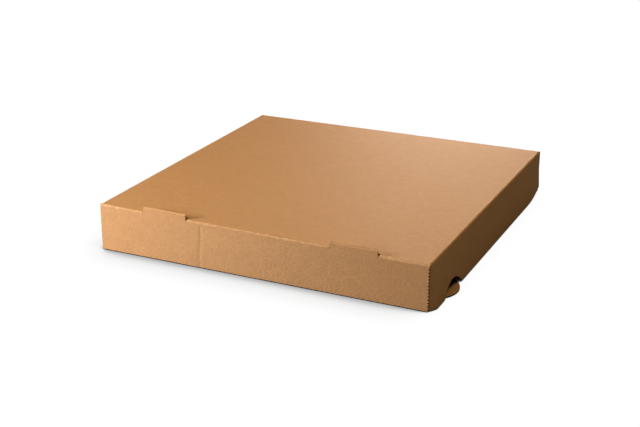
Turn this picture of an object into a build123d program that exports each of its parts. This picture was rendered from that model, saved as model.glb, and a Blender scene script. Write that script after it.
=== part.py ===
"""Pizza box folded from one sheet of E-flute board, with a hinged lid.

The tray is one folded solid. The lid panel turns on the back fold, and its
front flap and two side flaps hang outside the tray from folds of their own.
X is across the box, Y runs from front to back, Z is up from the floor.
"""
import os
from math import cos, hypot, radians, sin

from build123d import *

# Board
board = 1.6
fold_radius = 1.6
mitre_angle = 45.0
layer_gap = 0.4
lid_clearance = 0.8

# Lid
lid_width = 330.0
lid_depth = 330.0
box_height = 45.0

# Front flap and its tabs
front_flap_length = 44.0
front_flap_corner = 1.5
tab_width = 45.0
tab_height = 5.0
tab_corner = 1.2
tab_from_side = 47.5
tab_slot_clearance = 0.5
crease_from_left = 107.0
crease_width = 1.6
crease_depth = 0.4
crease_below_fold = 3.0

# Side flaps
side_flap_length = 43.7
side_flap_flare = 5.0
flap_end_gap = 0.6
front_curve_run = 16.0
front_curve_rise = 2.2
rear_curve_run = 44.0
rear_curve_rise = 8.0

# Vents in the side walls and the notches over them
vent_from_front = 51.0
vent_radius = 28.5
vent_height = 11.3
notch_height = 10.0

# Tray
corner_flap_length = 70.0
corner_flap_taper = 8.0
lock_tab_width = 38.0
lock_tab_spacing = 180.0

# Sizes that follow from those above
half_width = lid_width / 2
half_depth = lid_depth / 2
arc_inset = fold_radius - fold_radius * cos(radians(mitre_angle))
arc_mid = mitre_angle / 2
arc_mid_near = fold_radius - fold_radius * cos(radians(arc_mid))
arc_mid_far = fold_radius - fold_radius * sin(radians(arc_mid))
tray_half_width = half_width - board - lid_clearance
tray_front = -half_depth + board + lid_clearance
wall_top = box_height - board - lid_clearance
layer = board + layer_gap
side_wall_front = tray_front + layer
side_wall_back = half_depth - layer
inner_front = tray_front + layer + layer
base_half_width = tray_half_width - fold_radius
inner_half_width = tray_half_width - layer
vent_y = vent_from_front - half_depth
side_flap_front = -half_depth + board + flap_end_gap
side_flap_span = lid_depth - 2 * (board + flap_end_gap)
tab_x = half_width - tab_from_side - tab_width / 2
tab_slot_depth = hypot(tab_height, board) + tab_slot_clearance


def prism(face, span, direction):
    """A face drawn at the start of a panel, run along the panel's length."""
    return extrude(face, amount=span, dir=direction)


def plate(x0, x1, y0, y1, z0, z1):
    """A flat panel between two corners."""
    return Pos(x0, y0, z0) * Box(x1 - x0, y1 - y0, z1 - z0, align=(Align.MIN,) * 3)


def hanging_section(length):
    """Section of a flap below its fold: outside face at 0, half of the fold's
    rounding at the top, then the mitre that meets the lid."""
    start = (0, -fold_radius)
    middle = (-arc_mid_near, -arc_mid_far)
    mitre = (-arc_inset, -arc_inset)
    inner = (-board, -board)
    foot_in = (-board, -length)
    foot_out = (0, -length)
    arc = ThreePointArc(start, middle, mitre)
    return make_face(arc + Polyline(mitre, inner, foot_in, foot_out, start))


def panel_section(half_length):
    """Section across the lid panel: top face at 0, both ends rounded and mitred."""
    top_end = half_length - fold_radius
    mid_end = half_length - arc_mid_far
    mitre_end = half_length - arc_inset
    inner_end = half_length - board
    right = ThreePointArc((top_end, 0), (mid_end, -arc_mid_near), (mitre_end, -arc_inset))
    left = ThreePointArc((-mitre_end, -arc_inset), (-mid_end, -arc_mid_near), (-top_end, 0))
    under = Polyline((mitre_end, -arc_inset), (inner_end, -board), (-inner_end, -board), (-mitre_end, -arc_inset))
    over = Line((-top_end, 0), (top_end, 0))
    return make_face(right + under + left + over)


def fold_section(across, up):
    """Section of two panels folded square: one runs back from the fold by
    across, the other stands up from it by up, rounded on the outside."""
    corner = fold_radius - fold_radius * cos(radians(mitre_angle))
    arc = ThreePointArc((0, fold_radius), (corner, corner), (fold_radius, 0))
    rest = Polyline((fold_radius, 0), (across, 0), (across, board), (board, board), (board, up), (0, up), (0, fold_radius))
    return make_face(arc + rest)


def make_lid_panel():
    """Top panel, mitred at its four folds, with a slot behind each tab."""
    along_y = extrude(Plane.YZ * panel_section(half_depth), amount=half_width, both=True)
    along_x = extrude(Plane.XZ * panel_section(half_width), amount=half_depth, both=True)
    panel = along_x & along_y
    slot_half = tab_width / 2 + tab_slot_clearance
    for x in (-tab_x, tab_x):
        panel -= plate(x - slot_half, x + slot_half, -half_depth, tab_slot_depth - half_depth, -board, board)
    return Pos(0, 0, box_height) * panel


def make_front_flap():
    """Front panel of the lid, with two tabs that stand up past the fold."""
    hang = Plane(origin=(0, -half_depth, box_height), x_dir=(0, -1, 0), z_dir=(-1, 0, 0))
    flap = extrude(hang * hanging_section(front_flap_length), amount=half_width, both=True)
    foot = flap.faces().sort_by(Axis.Z)[0]
    flap = fillet(foot.edges().filter_by(Axis.Y), front_flap_corner)
    fold_z = box_height - fold_radius - board
    tab_top = box_height + tab_height
    for x in (-tab_x, tab_x):
        tab = plate(x - tab_width / 2, x + tab_width / 2, -half_depth, board - half_depth, fold_z, tab_top)
        tab = fillet(tab.faces().sort_by(Axis.Z)[-1].edges().filter_by(Axis.Y), tab_corner)
        flap += tab
    crease_x = crease_from_left - half_width
    crease_low = box_height - front_flap_length
    crease_high = box_height - fold_radius - crease_below_fold
    valley = Polyline(
        (crease_x - crease_width / 2, -half_depth),
        (crease_x, crease_depth - half_depth),
        (crease_x + crease_width / 2, -half_depth),
        (crease_x - crease_width / 2, -half_depth),
    )
    flap -= Pos(0, 0, crease_low) * extrude(make_face(valley), amount=crease_high - crease_low)
    return flap


def make_right_flap():
    """Side flap: curved lower corners, a notch over the vent, leaning out."""
    hang = Plane(origin=(half_width, side_flap_front, box_height), x_dir=(1, 0, 0), z_dir=(0, -1, 0))
    flap = prism(hang * hanging_section(side_flap_length), side_flap_span, (0, 1, 0))
    low = -side_flap_length
    rear_start = side_flap_span - rear_curve_run
    front_curve = TangentArc((front_curve_run, low), (0, low + front_curve_rise), tangent=(-1, 0))
    rear_curve = TangentArc((rear_start, low), (side_flap_span, low + rear_curve_rise), tangent=(1, 0))
    bottom = Line((front_curve_run, low), (rear_start, low))
    sides = Polyline((side_flap_span, low + rear_curve_rise), (side_flap_span, 0), (0, 0), (0, low + front_curve_rise))
    outline = make_face(front_curve + bottom + rear_curve + sides)
    notch_at = vent_y - side_flap_front
    outline -= Pos(notch_at, low + notch_height - vent_radius) * Circle(vent_radius)
    side = Plane(origin=(half_width, side_flap_front, box_height), x_dir=(0, 1, 0), z_dir=(1, 0, 0))
    flap &= prism(side * outline, board, (-1, 0, 0))
    fold = Axis((half_width, 0, box_height), (0, -1, 0))
    return flap.rotate(fold, side_flap_flare)


def make_side_wall():
    """Right wall of the tray with its corner flaps, and the vent's tongue."""
    wall_start = side_wall_front + fold_radius
    wall_span = side_wall_back - fold_radius - wall_start
    reach = fold_radius + board
    edge = Plane(origin=(tray_half_width, wall_start, 0), x_dir=(-1, 0, 0), z_dir=(0, 1, 0))
    wall = prism(edge * fold_section(reach, wall_top), wall_span, (0, 1, 0))
    flap_low = layer
    front_high = wall_top - layer
    front_turn = Plane(origin=(tray_half_width, side_wall_front, flap_low), x_dir=(-1, 0, 0), z_dir=(0, 0, -1))
    rear_turn = Plane(origin=(tray_half_width, side_wall_back, flap_low), x_dir=(-1, 0, 0), z_dir=(0, 0, 1))
    front_flap = prism(front_turn * fold_section(corner_flap_length, reach), front_high - flap_low, (0, 0, 1))
    rear_flap = prism(rear_turn * fold_section(corner_flap_length, reach), wall_top - flap_low, (0, 0, 1))
    flap_end = tray_half_width - corner_flap_length
    taper_top = Polyline(
        (flap_end, front_high),
        (flap_end + corner_flap_taper, front_high),
        (flap_end, flap_low),
        (flap_end, front_high),
    )
    front_flap -= prism(Plane.XZ.offset(-side_wall_front) * make_face(taper_top), board, (0, 1, 0))
    taper_rear = Polyline(
        (flap_end, wall_top),
        (flap_end + corner_flap_taper, wall_top),
        (flap_end, flap_low),
        (flap_end, wall_top),
    )
    rear_flap -= prism(Plane.XZ.offset(board - side_wall_back) * make_face(taper_rear), board, (0, 1, 0))
    wall += front_flap
    wall += rear_flap
    arch = extrude(Plane.YZ * (Pos(vent_y, vent_height - vent_radius) * Circle(vent_radius)), amount=half_width)
    above_base = plate(0, half_width, -half_depth, half_depth, board, box_height)
    wall -= arch & above_base
    disc = Pos(tray_half_width + vent_height - vent_radius, vent_y, 0) * Circle(vent_radius)
    tongue = extrude(disc, amount=board)
    tongue &= plate(base_half_width - board, tray_half_width + vent_height, -half_depth, half_depth, 0, board)
    return wall + tongue


def make_tray():
    """Base, rolled-over front wall, two side walls and the back wall."""
    front_fold = Plane(origin=(0, tray_front, 0), x_dir=(0, 1, 0), z_dir=(1, 0, 0))
    reach = fold_radius + board
    tray = extrude(front_fold * fold_section(reach, wall_top - fold_radius), amount=tray_half_width, both=True)
    tray += plate(-base_half_width, base_half_width, tray_front + fold_radius, half_depth - fold_radius, 0, board)

    bridge_depth = inner_front + board - tray_front
    roll = Plane(origin=(0, tray_front, wall_top), x_dir=(0, 1, 0), z_dir=(-1, 0, 0))
    roll_back = Plane(origin=(0, inner_front + board, wall_top), x_dir=(0, -1, 0), z_dir=(1, 0, 0))
    inner_drop = wall_top - layer
    tray += extrude(roll * fold_section(bridge_depth / 2, reach), amount=inner_half_width, both=True)
    tray += extrude(roll_back * fold_section(bridge_depth / 2, inner_drop), amount=inner_half_width, both=True)
    for x in (-lock_tab_spacing / 2, lock_tab_spacing / 2):
        x0 = x - lock_tab_width / 2
        x1 = x + lock_tab_width / 2
        y0 = inner_front
        y1 = inner_front + board
        tray -= plate(x0 - layer_gap, x1 + layer_gap, y0 - layer_gap, y1 + layer_gap, 0, board)
        tray += plate(x0, x1, y0, y1, 0, layer + board)

    side = make_side_wall()
    tray += side
    tray += mirror(side, about=Plane.YZ)

    hang = Plane(origin=(0, half_depth, box_height), x_dir=(0, 1, 0), z_dir=(1, 0, 0))
    back = extrude(hang * hanging_section(box_height - fold_radius), amount=half_width, both=True)
    back_fold = Plane(origin=(0, half_depth, 0), x_dir=(0, -1, 0), z_dir=(-1, 0, 0))
    back_foot = extrude(back_fold * fold_section(reach, reach), amount=base_half_width, both=True)
    return tray + back + back_foot


right_flap = make_right_flap()
solids = {
    "tray": make_tray(),
    "lid_panel": make_lid_panel(),
    "front_flap": make_front_flap(),
    "left_flap": mirror(right_flap, about=Plane.YZ),
    "right_flap": right_flap,
}
os.makedirs("parts", exist_ok=True)
for name, solid in solids.items():
    export_step(solid, "parts/" + name + ".step")
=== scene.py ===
import math

import bmesh
import bpy
from mathutils import Matrix, Vector


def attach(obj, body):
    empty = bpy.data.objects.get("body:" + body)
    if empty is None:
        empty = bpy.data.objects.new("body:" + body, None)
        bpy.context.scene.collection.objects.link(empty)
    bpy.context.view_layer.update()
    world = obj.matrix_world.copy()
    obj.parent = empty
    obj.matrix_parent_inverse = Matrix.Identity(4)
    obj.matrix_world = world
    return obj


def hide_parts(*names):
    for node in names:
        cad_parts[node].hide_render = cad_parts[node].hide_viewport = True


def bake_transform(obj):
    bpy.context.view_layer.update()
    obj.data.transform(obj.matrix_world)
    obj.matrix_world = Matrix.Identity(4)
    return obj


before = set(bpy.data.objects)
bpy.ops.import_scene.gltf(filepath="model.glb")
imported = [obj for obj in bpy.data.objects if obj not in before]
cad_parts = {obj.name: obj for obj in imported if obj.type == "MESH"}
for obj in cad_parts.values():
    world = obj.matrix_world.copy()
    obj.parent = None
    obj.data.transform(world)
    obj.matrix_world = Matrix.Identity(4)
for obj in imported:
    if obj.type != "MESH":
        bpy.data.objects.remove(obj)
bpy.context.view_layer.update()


# TRAY BASE
# The whole box is one die-cut sheet of brown E-flute corrugated board: two
# kraft liners with a wave of fluting glued between them. The base is its flat
# middle, with a half-round tongue pushed out at each side and two lock slots.

mm = 0.001
board = 1.6
liner = 0.25
fluting = 0.2
flute_pitch = 3.2
fold_radius = 1.6
tray_half_width = 162.6
tray_front = -162.6
tray_back = 165.0
lid_top = 45.0
layer = 2.0
inner_front = tray_front + 2 * layer
vent_y = -114.0
vent_radius = 28.5
vent_height = 11.3
vent_half = math.sqrt(vent_radius**2 - (vent_radius - vent_height) ** 2)
lock_tabs = (-90.0, 90.0)
lock_tab_half = 19.0
lock_slot_half = 19.4
lock_slot_gap = 0.4


def linear(hex_colour, level=1.0):
    """An sRGB hex value as the linear colour that a shader socket takes."""
    parts = [int(hex_colour[i : i + 2], 16) / 255 for i in (1, 3, 5)]
    parts = [p / 12.92 if p <= 0.04045 else ((p + 0.055) / 1.055) ** 2.4 for p in parts]
    return tuple(min(p * level, 1.0) for p in parts) + (1.0,)


def add_node(tree, kind, settings=(), values=(), links=()):
    """One node with its settings, its socket values and the links into it."""
    node = tree.nodes.new(kind)
    for name, value in dict(settings).items():
        setattr(node, name, value)
    for socket, value in dict(values).items():
        node.inputs[socket].default_value = value
    for socket, source in dict(links).items():
        tree.links.new(source, node.inputs[socket])
    return node


# Unbleached kraft liner, calendered on the paper machine: the eye sees a soft
# mottle of fibre clumps, fine threads that run across the flutes, a few dark
# shives, a trace of the flutes below, and a dull sheen at a low angle.
kraft_brown = "#BD8956"


def kraft_liner(name, clump, thread, speck, cockle):
    """Kraft liner with so much contrast in its clumps, threads and specks, and
    with cockles so many mm deep."""
    finish = bpy.data.materials.new(name)
    finish.use_nodes = True
    tree = finish.node_tree
    flat_sheet = add_node(tree, "ShaderNodeUVMap", settings={"uv_map": "UVMap"})
    place = add_node(tree, "ShaderNodeTexCoord")
    # Clumps of fibre are about 6 mm across
    clumps = add_node(
        tree,
        "ShaderNodeTexNoise",
        values={"Scale": 1 / (6 * mm), "Detail": 4.0, "Roughness": 0.7},
        links={"Vector": place.outputs["Object"]},
    )
    # Real fibres are 0.04 mm wide, too fine to show, so they are drawn 0.8 mm wide
    drawn_out = add_node(
        tree,
        "ShaderNodeMapping",
        values={"Scale": (1.0, 0.3, 1.0)},
        links={"Vector": flat_sheet.outputs["UV"]},
    )
    threads = add_node(
        tree,
        "ShaderNodeTexNoise",
        values={"Scale": 1 / (0.8 * mm), "Detail": 3.0, "Roughness": 0.7},
        links={"Vector": drawn_out.outputs["Vector"]},
    )
    # Shives and knots of fibre are flecks about 2.6 mm long
    shives = add_node(
        tree,
        "ShaderNodeTexNoise",
        values={"Scale": 1 / (2.6 * mm), "Detail": 3.0, "Roughness": 0.6},
        links={"Vector": flat_sheet.outputs["UV"]},
    )
    tints = []
    for noise, low, high, contrast in (
        (clumps, 0.3, 0.7, clump),
        (threads, 0.28, 0.72, thread),
        (shives, 0.28, 0.72, -speck),
    ):
        tint = add_node(tree, "ShaderNodeValToRGB", links={"Fac": noise.outputs["Fac"]})
        tint.color_ramp.elements[0].position = low
        tint.color_ramp.elements[0].color = linear(kraft_brown, 1 - contrast)
        tint.color_ramp.elements[1].position = high
        tint.color_ramp.elements[1].color = linear(kraft_brown, 1 + contrast)
        tints.append(tint)
    soft_colour = add_node(
        tree,
        "ShaderNodeMix",
        settings={"data_type": "RGBA"},
        values={"Factor": 0.5},
        links={"A": tints[0].outputs["Color"], "B": tints[1].outputs["Color"]},
    )
    paper_colour = add_node(
        tree,
        "ShaderNodeMix",
        settings={"data_type": "RGBA"},
        values={"Factor": 0.4},
        links={"A": soft_colour.outputs["Result"], "B": tints[2].outputs["Color"]},
    )
    shive_mask = add_node(
        tree,
        "ShaderNodeMapRange",
        values={"From Min": 0.66, "From Max": 0.76, "To Min": 0.0, "To Max": 0.45},
        links={"Value": shives.outputs["Fac"]},
    )
    flecked_colour = add_node(
        tree,
        "ShaderNodeMix",
        settings={"data_type": "RGBA"},
        links={"Factor": shive_mask.outputs["Result"], "A": paper_colour.outputs["Result"]},
    )
    flecked_colour.inputs["B"].default_value = linear(kraft_brown, 0.5)
    gloss = add_node(
        tree,
        "ShaderNodeMapRange",
        values={"To Min": 0.52, "To Max": 0.66},
        links={"Value": threads.outputs["Fac"]},
    )
    # A wave texture repeats every pi / 10 of its scale, and the UV map is in metres
    washboard = add_node(
        tree,
        "ShaderNodeTexWave",
        settings={"bands_direction": "Y"},
        values={"Scale": math.pi / (10 * flute_pitch * mm)},
        links={"Vector": flat_sheet.outputs["UV"]},
    )
    flute_relief = add_node(
        tree,
        "ShaderNodeBump",
        values={"Strength": 0.15, "Distance": 0.03 * mm},
        links={"Height": washboard.outputs["Fac"]},
    )
    # The sheet dries a little uneven, in cockles about 2.4 mm across
    cockles = add_node(
        tree,
        "ShaderNodeTexNoise",
        values={"Scale": 1 / (2.4 * mm), "Detail": 3.0, "Roughness": 0.6},
        links={"Vector": flat_sheet.outputs["UV"]},
    )
    cockle_relief = add_node(
        tree,
        "ShaderNodeBump",
        values={"Strength": 1.0, "Distance": cockle * mm},
        links={"Height": cockles.outputs["Fac"], "Normal": flute_relief.outputs["Normal"]},
    )
    fibre_relief = add_node(
        tree,
        "ShaderNodeBump",
        values={"Strength": 0.6, "Distance": 0.03 * mm},
        links={"Height": threads.outputs["Fac"], "Normal": cockle_relief.outputs["Normal"]},
    )
    paper = tree.nodes["Principled BSDF"]
    paper.inputs["Specular IOR Level"].default_value = 0.35
    tree.links.new(flecked_colour.outputs["Result"], paper.inputs["Base Color"])
    tree.links.new(gloss.outputs["Result"], paper.inputs["Roughness"])
    tree.links.new(fibre_relief.outputs["Normal"], paper.inputs["Normal"])
    return finish


kraft = kraft_liner("kraft_liner", 0.2, 0.025, 0.065, 0.14)

# Fluting medium, a rough recycled paper: duller and darker than the liners,
# and seen only in the cut edges.
flute_brown = "#96693A"
medium = bpy.data.materials.new("fluting_medium")
medium.use_nodes = True
tree = medium.node_tree
place = add_node(tree, "ShaderNodeTexCoord")
# Scraps of fibre about 1.2 mm long
scraps = add_node(
    tree,
    "ShaderNodeTexNoise",
    values={"Scale": 1 / (1.2 * mm), "Detail": 3.0},
    links={"Vector": place.outputs["Object"]},
)
scrap_colour = add_node(tree, "ShaderNodeValToRGB", links={"Fac": scraps.outputs["Fac"]})
scrap_colour.color_ramp.elements[0].position = 0.3
scrap_colour.color_ramp.elements[0].color = linear(flute_brown, 0.7)
scrap_colour.color_ramp.elements[1].position = 0.7
scrap_colour.color_ramp.elements[1].color = linear(flute_brown, 1.1)
paper = tree.nodes["Principled BSDF"]
paper.inputs["Roughness"].default_value = 0.9
tree.links.new(scrap_colour.outputs["Color"], paper.inputs["Base Color"])


def stations(start, end, step):
    """Even places from start to end, no further apart than step."""
    count = max(1, math.ceil(abs(end - start) / step - 1e-6))
    return [start + (end - start) * i / count for i in range(count + 1)]


# The card has taken a slight twist: two opposite top corners stand higher. It
# fades out towards the base, which lies flat.
corner_lift = 1.24


def settled(point):
    """A point of the box in metres, with the twist of the finished box."""
    x, y, z = point
    return Vector((x, y, z + corner_lift * (x * y / tray_back**2) * min(z / lid_top, 1.0) ** 4)) * mm


def paper_sheet(us, vs, point, thickness, material, keep=None, flat=None):
    """One sheet of paper: a grid whose columns and rows are drawn to their
    places, with what lies outside the cut line removed, and then given its
    thickness. The UV map holds the flat sheet, u along the flutes."""
    bpy.ops.object.select_all(action="DESELECT")
    bpy.ops.mesh.primitive_grid_add(x_subdivisions=len(us) - 1, y_subdivisions=len(vs) - 1, size=1)
    sheet = bpy.context.object
    bpy.ops.object.mode_set(mode="EDIT")
    bpy.ops.mesh.select_all(action="DESELECT")
    work = bmesh.from_edit_mesh(sheet.data)
    uv_map = work.loops.layers.uv.verify()
    cells = {vertex: (us[i % len(us)], vs[i // len(us)]) for i, vertex in enumerate(work.verts)}
    for face in work.faces:
        for loop in face.loops:
            u, v = cells[loop.vert]
            loop[uv_map].uv = Vector(flat(u, v) if flat else (u, v)) * mm
        middle = [sum(cells[vertex][k] for vertex in face.verts) / 4 for k in (0, 1)]
        face.select_set(bool(keep) and not keep(*middle))
    for vertex, (u, v) in cells.items():
        vertex.co = settled(point(u, v))
    bmesh.update_edit_mesh(sheet.data)
    bpy.ops.mesh.delete(type="FACE")
    bpy.ops.object.mode_set(mode="OBJECT")
    wall = sheet.modifiers.new("paper", "SOLIDIFY")
    wall.thickness = thickness * mm
    wall.offset = 0.0
    bpy.ops.object.modifier_apply(modifier=wall.name)
    bpy.ops.object.mode_set(mode="EDIT")
    bpy.ops.mesh.select_all(action="SELECT")
    bpy.ops.mesh.normals_make_consistent(inside=False)
    bpy.ops.object.mode_set(mode="OBJECT")
    sheet.data.materials.append(material)
    return sheet


def board_panel(us, vs, place, keep=None, flat=None, face=kraft):
    """Corrugated board: an outer and an inner liner with the fluting between.
    place(u, v, n) is a point at height n over the board's inner face."""
    swing = (board - 2 * liner - fluting) / 2

    def on_wave(u, v):
        return place(u, v, board / 2 + swing * math.sin(2 * math.pi * v / flute_pitch))

    return [
        paper_sheet(us, vs, lambda u, v: place(u, v, board - liner / 2), liner, face, keep, flat),
        paper_sheet(us, vs, lambda u, v: place(u, v, liner / 2), liner, kraft, keep, flat),
        paper_sheet(us, stations(vs[0], vs[-1], flute_pitch / 8), on_wave, fluting, medium, keep, flat),
    ]


def fold_strip(corner, arm_a, arm_b, along, places, keep=None, radius=fold_radius, material=kraft):
    """A liner bent round a fold. Two faces would meet in a sharp corner, the
    arms run from it into each face, and the strip goes along the fold."""
    corner, arm_a, arm_b, along = Vector(corner), Vector(arm_a), Vector(arm_b), Vector(along)
    handle = 0.45

    def bent(u, s):
        t = 1 - s
        curve = arm_a * (t**3 + 3 * handle * t * t * s) + arm_b * (s**3 + 3 * handle * s * s * t)
        inset = (arm_b * t + arm_a * s).normalized() * liner / 2
        return corner + along * u + curve * radius + inset

    def flat(u, s):
        return (u, 1.6 * radius * s) if abs(along.x) > 0.5 else (1.6 * radius * s, u)

    return paper_sheet(places, stations(0.0, 1.0, 0.1), bent, liner, material, keep, flat)


def join(name, sheets):
    """The sheets of one folded piece as one object, smooth round its folds."""
    bpy.ops.object.select_all(action="DESELECT")
    for sheet in sheets:
        sheet.select_set(True)
    bpy.context.view_layer.objects.active = sheets[0]
    if len(sheets) > 1:
        bpy.ops.object.join()
    piece = bpy.context.view_layer.objects.active
    piece.name = name
    piece.data.name = name
    bpy.ops.object.shade_smooth_by_angle(angle=math.radians(30))
    return piece


def base_half(y):
    """Half of the base's width at y, or to the edge of a tongue."""
    across = abs(y - vent_y)
    if across < vent_half:
        return tray_half_width + vent_height - vent_radius + math.sqrt(vent_radius**2 - across**2)
    return tray_half_width - fold_radius


def in_lock_slot(u, y):
    beside = any(abs(u * base_half(y) - x) < lock_slot_half for x in lock_tabs)
    return beside and inner_front - lock_slot_gap < y < inner_front + board + lock_slot_gap


base_edge = tray_half_width - fold_radius
tray_sheets = board_panel(
    [-1.0] + [(x + s * lock_slot_half) / base_edge for x in lock_tabs for s in (-1, 1)] + [1.0],
    [tray_front + fold_radius, inner_front - lock_slot_gap, inner_front + board + lock_slot_gap]
    + [vent_y - vent_half - 0.01]
    + stations(vent_y - vent_half + 0.01, vent_y + vent_half - 0.01, 1.2)
    + [vent_y + vent_half + 0.01, 0.0, tray_back - fold_radius],
    lambda u, y, n: (u * base_half(y), y, board - n),
    lambda u, y: not in_lock_slot(u, y),
    lambda u, y: (u * base_half(y), y),
)


# TRAY FRONT WALL
# The front wall is folded up from the base and rolled over on itself, so it
# is two boards thick. Two tabs at the foot of its inner half drop into the
# base's slots and hold it down.

wall_top = 42.6
inner_half = tray_half_width - layer
tray_sheets += board_panel(
    [-tray_half_width, 0.0, tray_half_width],
    [fold_radius, 20.0, wall_top - fold_radius],
    lambda x, z, n: (x, tray_front + board - n, z),
)
tray_sheets += board_panel(
    [-inner_half] + [x + s * lock_tab_half for x in lock_tabs for s in (-1, 1)] + [inner_half],
    [0.0, layer, 20.0, wall_top - fold_radius],
    lambda x, z, n: (x, inner_front + n, z),
    lambda x, z: z > layer or any(abs(x - tab) < lock_tab_half for tab in lock_tabs),
)
roll_back = inner_front + board
whole_front = [-inner_half, 0.0, inner_half]
tray_sheets += [
    fold_strip((0, tray_front, 0), (0, 1, 0), (0, 0, 1), (1, 0, 0), whole_front),
    fold_strip((0, tray_front, wall_top), (0, 1, 0), (0, 0, -1), (1, 0, 0), whole_front),
    fold_strip((0, roll_back, wall_top), (0, -1, 0), (0, 0, -1), (1, 0, 0), whole_front),
    paper_sheet(
        whole_front,
        [tray_front + fold_radius, roll_back - fold_radius],
        lambda x, y: (x, y, wall_top - liner / 2),
        liner,
        kraft,
    ),
]


# TRAY SIDE WALLS
# Each side wall is folded up from the base, with an arched vent over the
# tongue. The corner flaps at its ends are folded in behind the front and back
# walls and are held there.

side_wall_front = tray_front + layer
side_wall_back = tray_back - layer
corner_flap_end = 92.6
corner_flap_taper = 8.0


def wall_foot(y):
    """Lower edge of a side wall at y: its fold, or the arch of the vent."""
    across = abs(y - vent_y)
    if across < vent_half:
        return max(fold_radius, vent_height - vent_radius + math.sqrt(vent_radius**2 - across**2))
    return fold_radius


def wall_height(u, y):
    """Height of the place that is u of the way up a side wall at y."""
    return wall_foot(y) + u * (wall_top - wall_foot(y))


def corner_flap_top(x, top):
    """Top edge of a corner flap at x, which slopes down to its free end."""
    return layer + (top - layer) * min(1.0, 0.1 + (x - corner_flap_end) / corner_flap_taper)


for side in (-1, 1):
    tray_sheets += board_panel(
        [0.0, 0.5, 1.0],
        [side_wall_front + fold_radius, vent_y - vent_half - 0.01]
        + stations(vent_y - vent_half + 0.01, vent_y + vent_half - 0.01, 1.2)
        + [vent_y + vent_half + 0.01, 0.0, side_wall_back - fold_radius],
        lambda u, y, n: (side * (tray_half_width - board + n), y, wall_height(u, y)),
        flat=lambda u, y: (wall_height(u, y), y),
    )
    tray_sheets.append(
        fold_strip(
            (side * tray_half_width, 0, 0),
            (-side, 0, 0),
            (0, 0, 1),
            (0, 1, 0),
            [side_wall_front + fold_radius, vent_y - vent_half]
            + [vent_y + vent_half, side_wall_back - fold_radius],
            lambda y, s: abs(y - vent_y) > vent_half,
        )
    )
    for face_y, inward, top in ((side_wall_front, 1, wall_top - layer), (side_wall_back, -1, wall_top)):
        tray_sheets += board_panel(
            [0.0, 0.5, 1.0],
            [corner_flap_end, corner_flap_end + 0.9 * corner_flap_taper, tray_half_width - fold_radius],
            lambda u, x, n: (
                side * x,
                face_y + inward * (board - n),
                layer + u * (corner_flap_top(x, top) - layer),
            ),
            flat=lambda u, x: (u * (corner_flap_top(x, top) - layer), x),
        )
        tray_sheets.append(
            fold_strip(
                (side * tray_half_width, face_y, 0), (-side, 0, 0), (0, inward, 0), (0, 0, 1), [layer, top]
            )
        )


# TRAY BACK WALL
# The back wall joins the tray to the lid. It is a single board, folded up from
# the base, and its raw ends show at the back corners.

lid_half = 165.0
tray_sheets += board_panel(
    [-lid_half, 0.0, lid_half],
    [fold_radius, 20.0, lid_top - fold_radius],
    lambda x, z, n: (x, tray_back - board + n, z),
)
tray_sheets.append(fold_strip((0, tray_back, 0), (0, -1, 0), (0, 0, 1), (1, 0, 0), whole_front))
tray = join("tray_board", tray_sheets)
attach(tray, "tray")
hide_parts("tray")


# LID PANEL
# The top of the box. Two slots at its front edge are what the upright tabs of
# the front flap were cut out of.

tab_x = 95.0
tab_half = 22.5
slot_half = 23.0
slot_back = -159.25
slot_ends = [x + s * slot_half for x in (-tab_x, tab_x) for s in (-1, 1)]
lid_flat = lid_half - fold_radius
lid = join(
    "lid_panel_board",
    board_panel(
        [-lid_flat] + slot_ends + [lid_flat],
        [-lid_flat, slot_back, 0.0, lid_flat],
        lambda x, y, n: (x, y, lid_top - board + n),
        lambda x, y: y > slot_back or abs(abs(x) - tab_x) > slot_half,
    ),
)
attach(lid, "lid")
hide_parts("lid_panel")


# FRONT FLAP
# The front of the lid is folded down outside the tray. Two tabs stand up past
# the fold in line with it, and a stray crease is pressed into its left half.

flap_foot = 1.0
tab_top = 50.0
crease_x = -58.0
crease_depth = 0.4
crease_top = 41.5
tear_run = 2.4
tear_depth = 1.7
rim_run = 1.2
rim_depth = 0.9

# Kraft liner where hands have held the box: its fibres stand up a little, so
# its mottle and its specks are stronger than on the lid.
handled = kraft_liner("handled_kraft_liner", 0.2, 0.07, 0.16, 0.4)


def crease_press(x, z):
    """Depth of the stray crease: steep at its left above, at its right below."""
    above = min(1.0, max(0.0, (z - 14.0) / 14.0))
    run = 4.0 - 3.0 * above if x < crease_x else 1.0 + 3.0 * above
    return crease_depth * max(0.0, 1 - abs(x - crease_x) / run) if z < crease_top else 0.0


def front_flap_point(x, z, n):
    """A point of the front flap, with its crease. The toothed cutting blade has
    torn the outer liner back between the flutes at the right end, and has
    pressed it down all along the tops of the tabs."""
    cut_end = max(0.0, 1 - (lid_half - x) / tear_run)
    hollow = 0.5 - 0.5 * math.sin(2 * math.pi * z / flute_pitch)
    rim = max(0.0, 1 - (tab_top - z) / rim_run)
    torn = tear_depth * cut_end * hollow * (n / board) ** 4
    return (x - torn, board - n - lid_half + crease_press(x, z) + rim_depth * rim * n / board, z)


front_flap = join(
    "front_flap_board",
    board_panel(
        sorted(
            [-lid_half]
            + [lid_half - gone * tear_run for gone in (0.0, 0.5, 1.0, 1.5)]
            + [x + s * tab_half for x in (-tab_x, tab_x) for s in (-1, 1)]
            + [crease_x + step for step in range(-4, 5)]
        ),
        stations(flap_foot, lid_top - fold_radius, flute_pitch / 8)
        + [tab_top - rim_run, tab_top - rim_run / 2, tab_top],
        front_flap_point,
        lambda x, z: z < lid_top - fold_radius or abs(abs(x) - tab_x) < tab_half,
        face=handled,
    ),
)
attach(front_flap, "front_flap")
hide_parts("front_flap")


# SIDE FLAPS
# One flap hangs outside each side wall. Its crease springs back, so it leans
# out, but its front edge is held in by the corner. It is notched over the
# vent and curves up at its lower corners.

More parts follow.
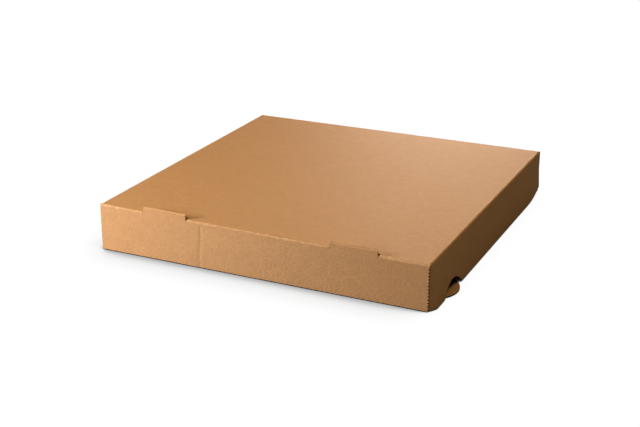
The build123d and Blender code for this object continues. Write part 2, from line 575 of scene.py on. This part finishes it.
flap_length = 44.2
flap_front = -163.2
flap_back = 162.8
pinch_run = 1.5
front_curve = (6.0, 0.6)
rear_curve = (44.0, 8.0)
notch_y = -113.5
notch_radius = 28.5
notch_height = 11.5
notch_half = math.sqrt(notch_radius**2 - (notch_radius - notch_height) ** 2)


def flap_reach(y):
    """How far a side flap reaches below its fold at y."""
    reach = flap_length
    for (run, rise), gone in ((front_curve, y - flap_front), (rear_curve, flap_back - y)):
        if gone < run:
            radius = (run**2 + rise**2) / (2 * rise)
            reach -= radius - math.sqrt(radius**2 - (run - gone) ** 2)
    across = abs(y - notch_y)
    if across < notch_half:
        arch = notch_radius - math.sqrt(notch_radius**2 - across**2)
        reach = min(reach, flap_length - notch_height + arch)
    return reach


def pinch(y):
    """How thick a side flap is at y: its cut edges are squeezed shut."""
    return 1 - 0.6 * max(0.0, 1 - min(y - flap_front, flap_back - y) / pinch_run)


def flap_lean(y):
    """Angle that a side flap leans out at y."""
    share = (y - flap_front) / (flap_back - flap_front)
    held = min(1.0, (y - flap_front) / 9.0)
    return math.radians(6.6 - 3.3 * share) * (0.25 + 0.75 * held * held * (3 - 2 * held))


flap_stations = (
    [flap_front, flap_front + pinch_run / 2]
    + stations(flap_front + pinch_run, notch_y - notch_half - 0.01, 2.0)
    + stations(notch_y - notch_half + 0.01, notch_y + notch_half - 0.01, 1.0)
    + stations(notch_y + notch_half + 0.01, flap_back - rear_curve[0], 12.0)
    + stations(flap_back - rear_curve[0], flap_back - pinch_run, 2.0)[1:]
    + [flap_back - pinch_run / 2, flap_back]
)
for name, body, side in (("left_flap_board", "left_flap", -1), ("right_flap_board", "right_flap", 1)):

    def side_flap_point(u, y, n):
        """A point of this flap, u of the way from its fold to its edge."""
        lean = flap_lean(y)
        n = n * pinch(y)
        down = fold_radius + u * (flap_reach(y) - fold_radius)
        x = lid_half + down * math.sin(lean) - (board - n) * math.cos(lean)
        return (side * x, y, lid_top - down * math.cos(lean) - (board - n) * math.sin(lean))

    flap = join(
        name,
        board_panel(
            [0.0, 0.5, 1.0],
            flap_stations,
            side_flap_point,
            flat=lambda u, y: (u * flap_reach(y), y),
        ),
    )
    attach(flap, body)
    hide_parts(body)


# FOLDS OF THE LID
# At the lid's four folds the liners run on round the crease: the outer one is
# bent, the inner one is pushed up into a bead.

bead = 1.2
back_bead = 0.8

# Kraft liner over a scored fold, with pale broken streaks about 4 mm long
# along the ridge: partly its top fibres, cracked and rubbed, and partly a
# painted highlight of the light that the round fold catches.
rub_and_highlight_brown = "#D8AE80"
scored = kraft.copy()
scored.name = "scored_liner_with_painted_highlight"
tree = scored.node_tree
place = add_node(tree, "ShaderNodeTexCoord")
rub_and_highlight_noise = add_node(
    tree,
    "ShaderNodeTexNoise",
    values={"Scale": 1 / (4 * mm), "Detail": 4.0, "Roughness": 0.65},
    links={"Vector": place.outputs["Object"]},
)
# Where the pale streaks lie: rubbed fibre and painted highlight
rub_and_highlight_mask = add_node(
    tree,
    "ShaderNodeMapRange",
    values={"From Min": 0.46, "From Max": 0.6, "To Min": 0.0, "To Max": 0.4},
    links={"Value": rub_and_highlight_noise.outputs["Fac"]},
)
paper = tree.nodes["Principled BSDF"]
rub_and_highlight_colour = add_node(
    tree,
    "ShaderNodeMix",
    settings={"data_type": "RGBA"},
    links={"Factor": rub_and_highlight_mask.outputs["Result"], "A": paper.inputs["Base Color"].links[0].from_socket},
)
# Pale colour of the streaks, part rubbed fibre, part painted highlight
rub_and_highlight_colour.inputs["B"].default_value = linear(rub_and_highlight_brown)
tree.links.new(rub_and_highlight_colour.outputs["Result"], paper.inputs["Base Color"])


def turning_fold(name, corner, arm_a, arm_b, along, places, keep=None, radius=fold_radius):
    """A bent liner round the fold between two panels, as one piece."""
    corner, arm_a, arm_b = Vector(corner), Vector(arm_a), Vector(arm_b)
    strip = join(name, [fold_strip(corner, arm_a, arm_b, along, places, keep, radius, scored)])
    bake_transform(strip)


def clear_of_tabs(x, s):
    return abs(abs(x) - tab_x) > slot_half


front_places = [-lid_half] + slot_ends + [lid_half]
inside = lid_half - board
below = lid_top - board
turning_fold(
    "front_fold_liner",
    (0, -lid_half, lid_top),
    (0, 1, 0),
    (0, 0, -1),
    (1, 0, 0),
    front_places,
    clear_of_tabs,
)
turning_fold(
    "front_fold_bead",
    (0, bead - inside, below - bead),
    (0, 0, 1),
    (0, -1, 0),
    (1, 0, 0),
    [-inside + layer] + slot_ends + [inside - layer],
    clear_of_tabs,
    bead,
)
turning_fold(
    "back_fold_liner",
    (0, lid_half, lid_top),
    (0, -1, 0),
    (0, 0, -1),
    (1, 0, 0),
    [-lid_half, 0.0, lid_half],
)
turning_fold(
    "back_fold_bead",
    (0, inside - back_bead, below - back_bead),
    (0, 0, 1),
    (0, 1, 0),
    (1, 0, 0),
    [-inside, 0.0, inside],
    radius=back_bead,
)
fold_lean = flap_lean(0.0)
for name, body, side in (("left_fold", "left_flap", -1), ("right_fold", "right_flap", 1)):
    turning_fold(
        name + "_liner",
        (side * lid_half, 0, lid_top),
        (-side, 0, 0),
        (side * math.sin(fold_lean), 0, -math.cos(fold_lean)),
        (0, 1, 0),
        [flap_front, 0.0, flap_back],
    )
    turning_fold(
        name + "_bead",
        (side * (inside - bead), 0, below - bead),
        (0, 0, 1),
        (side, 0, 0),
        (0, 1, 0),
        [flap_front + layer, 0.0, flap_back - layer],
        radius=bead,
    )


# FLOOR, LIGHT AND CAMERA
# A white table top, a cool soft lamp low at the front left, a warm one behind
# that glances off the lid, two above, and the camera to the right of the front.

shadow_reach = 0.055
gap_reach = 0.03
white_share = 0.94
bpy.ops.object.select_all(action="DESELECT")
bpy.ops.mesh.primitive_plane_add(size=12)
floor = bpy.context.object
floor.name = "floor"

# Matt white paint: to the camera it glows plain white, with a painted shadow
# that darkens it where the box stands over it, most in front and at the left.
table = bpy.data.materials.new("white_table")
table.use_nodes = True
tree = table.node_tree
paint = tree.nodes["Principled BSDF"]
paint.inputs["Base Color"].default_value = (0.36, 0.36, 0.36, 1.0)
paint.inputs["Roughness"].default_value = 0.9
rays = add_node(tree, "ShaderNodeLightPath")
away = add_node(tree, "ShaderNodeCombineXYZ", values={"X": 0.42, "Y": 0.5, "Z": 0.76})
near_box = add_node(
    tree,
    "ShaderNodeAmbientOcclusion",
    settings={"samples": 32},
    values={"Distance": shadow_reach},
    links={"Normal": away.outputs["Vector"]},
)
# Painted shadow on the floor, darkest at the foot of the box
painted_contact_shadow = add_node(tree, "ShaderNodeValToRGB", links={"Fac": near_box.outputs["AO"]})
painted_contact_shadow.color_ramp.elements[0].position = 0.15
painted_contact_shadow.color_ramp.elements[0].color = (0.02, 0.02, 0.02, 1.0)
painted_contact_shadow.color_ramp.elements[1].position = 0.97
painted_contact_shadow.color_ramp.elements[1].color = (1.0, 1.0, 1.0, 1.0)
for position, shade in ((0.375, 0.43), (0.465, 0.79), (0.56, 0.88), (0.74, 0.945)):
    painted_contact_shadow.color_ramp.elements.new(position).color = (shade, shade, shade, 1.0)
# Painted shadow, darker still in the narrow gaps under the box and its flaps
under_box = add_node(
    tree,
    "ShaderNodeAmbientOcclusion",
    settings={"samples": 32},
    values={"Distance": gap_reach},
)
gap = add_node(
    tree,
    "ShaderNodeMapRange",
    values={"From Min": 0.12, "From Max": 0.42, "To Min": 0.03, "To Max": 1.08},
    links={"Value": under_box.outputs["AO"]},
)
white = add_node(
    tree,
    "ShaderNodeEmission",
    links={"Color": painted_contact_shadow.outputs["Color"], "Strength": gap.outputs["Result"]},
)
seen = add_node(tree, "ShaderNodeMath", settings={"operation": "MAXIMUM"})
tree.links.new(rays.outputs["Is Camera Ray"], seen.inputs[0])
tree.links.new(rays.outputs["Is Transmission Ray"], seen.inputs[1])
mostly = add_node(
    tree,
    "ShaderNodeMath",
    settings={"operation": "MULTIPLY"},
    values={1: white_share},
    links={0: seen.outputs["Value"]},
)
lit_floor = add_node(
    tree,
    "ShaderNodeMixShader",
    links={0: mostly.outputs["Value"], 1: paint.outputs["BSDF"], 2: white.outputs["Emission"]},
)
tree.links.new(lit_floor.outputs["Shader"], tree.nodes["Material Output"].inputs["Surface"])
floor.data.materials.append(table)


def soft_lamp(name, place, aim, width, height, power, colour):
    """A soft box at a place, turned towards a point."""
    bpy.ops.object.select_all(action="DESELECT")
    bpy.ops.object.light_add(type="AREA", location=place)
    lamp = bpy.context.object
    lamp.name = name
    lamp.data.shape = "RECTANGLE"
    lamp.data.size = width
    lamp.data.size_y = height
    lamp.data.energy = power
    lamp.data.color = colour
    lamp.rotation_euler = (Vector(aim) - Vector(place)).to_track_quat("-Z", "Y").to_euler()


soft_lamp("left_lamp", (-0.55, -0.6, 0.24), (-0.05, -0.1, 0.03), 0.2, 0.2, 9.6, (0.77, 0.83, 1.0))
# It lights the card but leaves no white glare on the lid in other views
bpy.data.objects["left_lamp"].visible_glossy = False
soft_lamp("back_lamp", (-0.38, 1.55, 0.3), (0.0, 0.1, 0.04), 0.5, 0.2, 11.9, (1.0, 0.77, 0.6))
soft_lamp("right_lamp", (0.7, -0.2, 1.9), (0.0, -0.05, 0.03), 0.6, 0.6, 10.5, (1.0, 0.88, 0.6))
soft_lamp("top_lamp", (-0.4, -0.05, 1.4), (0.0, -0.05, 0.03), 0.8, 0.8, 7.6, (1.0, 0.87, 0.56))

world = bpy.data.worlds.new("studio")
bpy.context.scene.world = world
world.use_nodes = True
sky = world.node_tree
rays = add_node(sky, "ShaderNodeLightPath")
backdrop = sky.nodes["Background"]
backdrop.inputs["Color"].default_value = (1.0, 1.0, 1.0, 1.0)
sky.links.new(rays.outputs["Is Camera Ray"], backdrop.inputs["Strength"])

yaw, pitch, roll = 0.4364, 0.36849, 0.00236
forward = Vector((-math.sin(yaw) * math.cos(pitch), math.cos(yaw) * math.cos(pitch), -math.sin(pitch)))
right = Vector((math.cos(yaw), math.sin(yaw), 0.0))
up = right.cross(forward)
right, up = right * math.cos(roll) + up * math.sin(roll), up * math.cos(roll) - right * math.sin(roll)
bpy.ops.object.camera_add()
camera = bpy.context.object
camera.data.sensor_width = 36.0
camera.data.lens = 73.234
camera.data.clip_end = 20.0
stance = Matrix((right, up, -forward)).transposed().to_4x4()
camera.matrix_world = Matrix.Translation((0.50585, -1.11458, 0.47871)) @ stance
bpy.context.scene.camera = camera

bpy.context.scene.view_settings.view_transform = "Standard"
